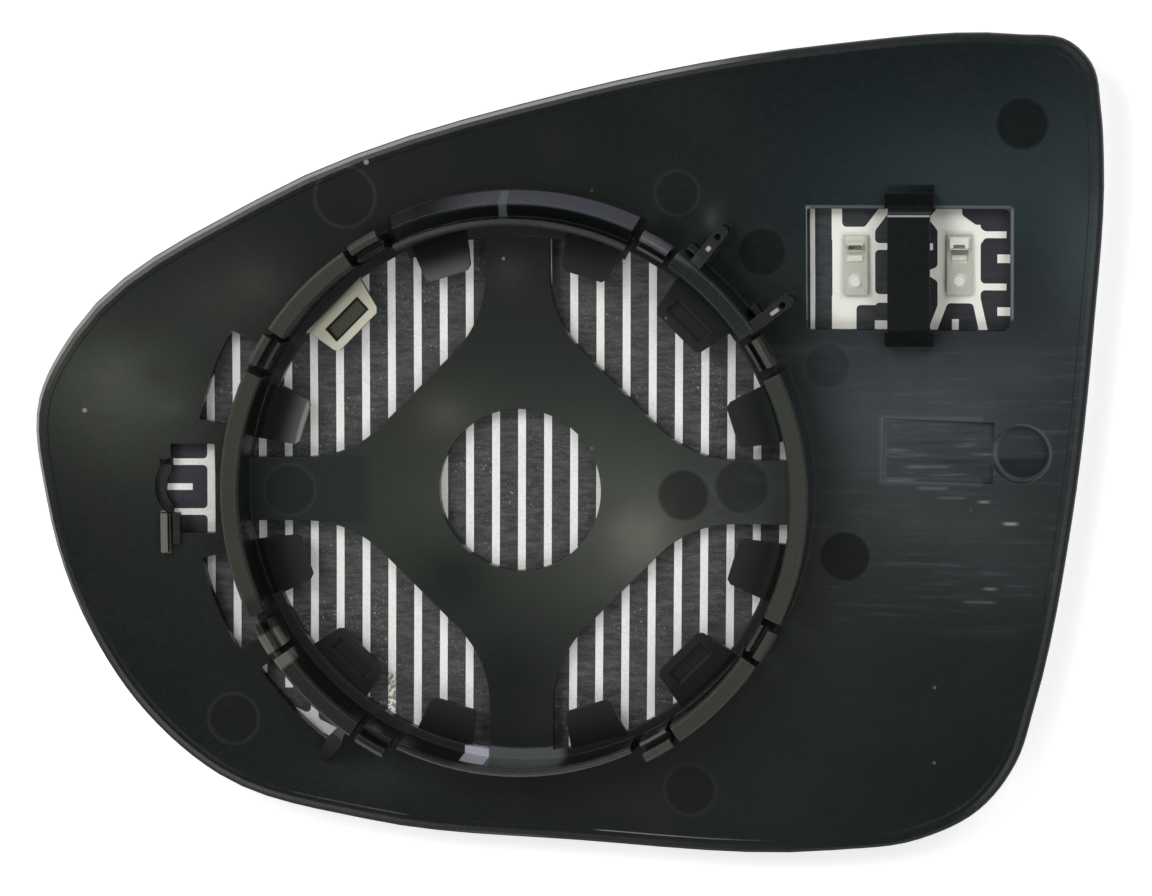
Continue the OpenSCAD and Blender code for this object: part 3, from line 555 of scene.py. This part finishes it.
def silver_material():
    t = Tree("silver_print")
    vector, x, y, _ = t.object_mm()
    grain = t.noise(vector, scale=2.2, detail=4.0, roughness=0.65)
    cloud = t.noise(vector, scale=0.18, detail=2.0)
    t.tint = t.mix(t.band(grain, 0.30, 0.60), (0.76, 0.76, 0.73), (0.90, 0.90, 0.87))
    t.cover(t.band(cloud, 0.35, 0.7, 0.0, 0.5), colour=(0.94, 0.94, 0.91))
    # Rough dark patch where a stripe's print was mended
    patch = t.math("MULTIPLY", t.window(x, -23.2, -21.0, 0.3), t.window(y, -39.0, -31.5, 0.8))
    chips = t.band(t.noise(vector, scale=1.6, detail=3.0), 0.42, 0.56)
    t.cover(t.math("MULTIPLY", patch, chips), colour=(0.30, 0.28, 0.22))
    # The long stripe at the terminal window's left side shows only in part, the pads are cream
    stripe = t.all_of(t.window(x, 46.8, 49.5, 0.1), t.window(y, 24.0, 50.0, 0.5))
    shown = t.window(x, 48.15, 48.85, 0.1)
    t.cover(t.math("MULTIPLY", stripe, t.less(shown)), colour=(0.020, 0.023, 0.026))
    pads = t.all_of(t.window(x, 50.0, 80.0, 1.0), t.window(y, 26.0, 47.0, 1.0))
    t.lay(pads, strength=0.7, colour=(0.88, 0.88, 0.79))
    return t.finish(t.band(grain, 0.3, 0.7, 0.45, 0.60), t.bump(grain, 0.15, 0.04 * MM))


# Places on the blades that catch the light, or lie in shadow: (x0, x1, y0, y1), strength, colour
BLADE_MARKS = [
    ((54.2, 56.8, 38.0, 38.9), 0.8, (0.86, 0.86, 0.80)),
    ((54.0, 57.0, 40.9, 42.1), 0.6, (0.80, 0.80, 0.74)),
    ((54.4, 56.7, 39.9, 40.5), 0.8, (0.12, 0.12, 0.09)),
    ((70.9, 74.2, 40.4, 42.0), 0.9, (0.90, 0.90, 0.86)),
    ((71.2, 73.9, 39.2, 39.9), 0.7, (0.16, 0.16, 0.13)),
    ((71.4, 73.6, 37.9, 38.8), 0.7, (0.84, 0.84, 0.78)),
]
MARK_SOFT = 0.15


def metal_material(name, dark, light, roughness, metallic, marks=()):
    t = Tree(name)
    vector, x, y, _ = t.object_mm()
    brush = t.noise(vector, scale=2.4, detail=4.0, stretch=(4.0, 0.4, 1.0))
    t.tint = t.mix(t.band(brush, 0.3, 0.7), dark, light)
    for (x0, x1, y0, y1), strength, colour in marks:
        mark = t.all_of(t.window(x, x0, x1, MARK_SOFT), t.window(y, y0, y1, MARK_SOFT))
        t.lay(mark, strength, colour)
    t.shader.inputs["Metallic"].default_value = metallic
    rough = t.band(brush, 0.3, 0.7, roughness - 0.06, roughness + 0.08)
    return t.finish(rough, t.bump(brush, 0.2, 0.03 * MM))


def adhesive_material(name, dark, light):
    t = Tree(name)
    cloud = t.noise(t.object_mm()[0], scale=0.8, detail=3.0)
    t.tint = t.mix(t.band(cloud, 0.3, 0.7), dark, light)
    return t.finish(t.band(cloud, 0.3, 0.7, 0.5, 0.65), t.bump(cloud, 0.2, 0.1 * MM))


def glass_material():
    t = Tree("mirror_glass")
    vector = t.object_mm()[0]
    haze = t.noise(vector, scale=0.05, detail=3.0)
    dust = t.noise(vector, scale=4.0, detail=2.0)
    t.tint = t.mix(t.band(haze, 0.3, 0.7), (0.80, 0.84, 0.87), (0.86, 0.89, 0.91))
    t.shader.inputs["Metallic"].default_value = 0.95
    return t.finish(t.band(dust, 0.45, 0.8, 0.03, 0.09))


def paint(node, material):
    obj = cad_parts[node]
    obj.data.materials.clear()
    obj.data.materials.append(material)
    for polygon in obj.data.polygons:
        polygon.material_index = 0


silver = silver_material()
blade_metal = metal_material(
    "terminal_metal",
    dark=(0.53, 0.53, 0.45),
    light=(0.63, 0.63, 0.54),
    roughness=0.42,
    metallic=0.30,
    marks=BLADE_MARKS,
)
rivet_metal = metal_material(
    "rivet_metal", dark=(0.78, 0.78, 0.72), light=(0.88, 0.88, 0.83), roughness=0.40, metallic=0.15
)
paint("backing_plate", plate_material())
paint("heater_film", film_material())
paint("heater_comb_a", silver)
paint("heater_comb_b", silver)
paint("mirror_glass", glass_material())
paint("terminal_a", blade_metal)
paint("terminal_b", blade_metal)
paint("terminal_rivets", rivet_metal)
paint("glass_adhesive", adhesive_material("clear_adhesive", (0.45, 0.45, 0.42), (0.55, 0.55, 0.51)))
paint("plate_adhesive", adhesive_material("black_adhesive", (0.012, 0.012, 0.012), (0.022, 0.022, 0.022)))


# Floor
FLOOR_SIZE = 6.0
FLOOR_GAP = 0.2 * MM
FLOOR_TONE = (0.86, 0.86, 0.86)
FLOOR_ROUGHNESS = 0.9
FLOOR_GLOW = 0.45


def floor_material():
    """Pale floor that looks white to the camera and in reflections."""
    t = Tree("floor_pale")
    path = t.nodes.new("ShaderNodeLightPath")
    seen = t.math("MAXIMUM", path.outputs["Is Camera Ray"], path.outputs["Is Glossy Ray"])
    seen = t.math("MAXIMUM", seen, path.outputs["Is Transmission Ray"])
    t.put(t.shader.inputs["Emission Color"], WHITE)
    t.put(t.shader.inputs["Emission Strength"], t.math("MULTIPLY", seen, FLOOR_GLOW))
    t.tint = FLOOR_TONE
    return t.finish(FLOOR_ROUGHNESS)


floor_z = cad_box[0][2] - FLOOR_GAP
bpy.ops.mesh.primitive_plane_add(size=FLOOR_SIZE, location=(0.0, 0.0, floor_z))
floor = bpy.context.object
floor.name = "floor"
floor.data.materials.append(floor_material())

# Studio light: a weak white world, four softboxes round the part and a faint narrow one for the sheen
WORLD_LIGHT = 0.09
SOFTBOX_AWAY = 0.80
SOFTBOX_UP = 0.85
SOFTBOX_SIZE = (0.6, 0.6)
# Direction of each softbox in degrees, and its power in watts
SOFTBOXES = [(140, 6.6), (50, 3.9), (230, 3.0), (320, 3.0)]

scene = bpy.context.scene
world = bpy.data.worlds.new("studio")
scene.world = world
world.use_nodes = True
background = world.node_tree.nodes["Background"]
background.inputs["Color"].default_value = (*WHITE, 1.0)
background.inputs["Strength"].default_value = WORLD_LIGHT


def softbox(name, place, aim, size, power):
    light = bpy.data.lights.new(name, "AREA")
    light.shape = "RECTANGLE"
    light.size, light.size_y = size
    light.energy = power
    obj = bpy.data.objects.new(name, light)
    bpy.context.collection.objects.link(obj)
    obj.location = place
    obj.rotation_euler = (Vector(aim) - Vector(place)).to_track_quat("-Z", "Y").to_euler()
    obj.visible_camera = False


for degrees, power in SOFTBOXES:
    angle = math.radians(degrees)
    place = (SOFTBOX_AWAY * math.cos(angle), SOFTBOX_AWAY * math.sin(angle), SOFTBOX_UP)
    softbox("soft_%d" % degrees, place, aim=(0.0, 0.0, 0.0), size=SOFTBOX_SIZE, power=power)
softbox("sheen", (-0.050, -0.036, 0.36), aim=(0.009, 0.007, 0.0), size=(0.20, 0.025), power=0.014)

# Camera at the photo's angle: the part fills its frame as it fills the photo's
DISTANCE = 0.75
TILT = math.radians(10.3)
TOWARDS = math.radians(40.2)
TARGET = Vector((9.41 * MM, 7.07 * MM, 0.0))
PHOTO_WIDTH = 1152
MM_PER_PX = 0.165
SENSOR = 36.0

lean = Quaternion((-math.sin(TOWARDS), math.cos(TOWARDS), 0.0), TILT)
camera_data = bpy.data.cameras.new("camera")
camera_data.sensor_width = SENSOR
camera_data.lens = SENSOR * DISTANCE / (PHOTO_WIDTH * MM_PER_PX * MM)
camera_data.clip_start = 0.05
camera = bpy.data.objects.new("camera", camera_data)
bpy.context.collection.objects.link(camera)
camera.rotation_mode = "QUATERNION"
camera.rotation_quaternion = lean
camera.location = TARGET + lean @ Vector((0.0, 0.0, DISTANCE))
scene.camera = camera
scene.view_settings.view_transform = "Standard"
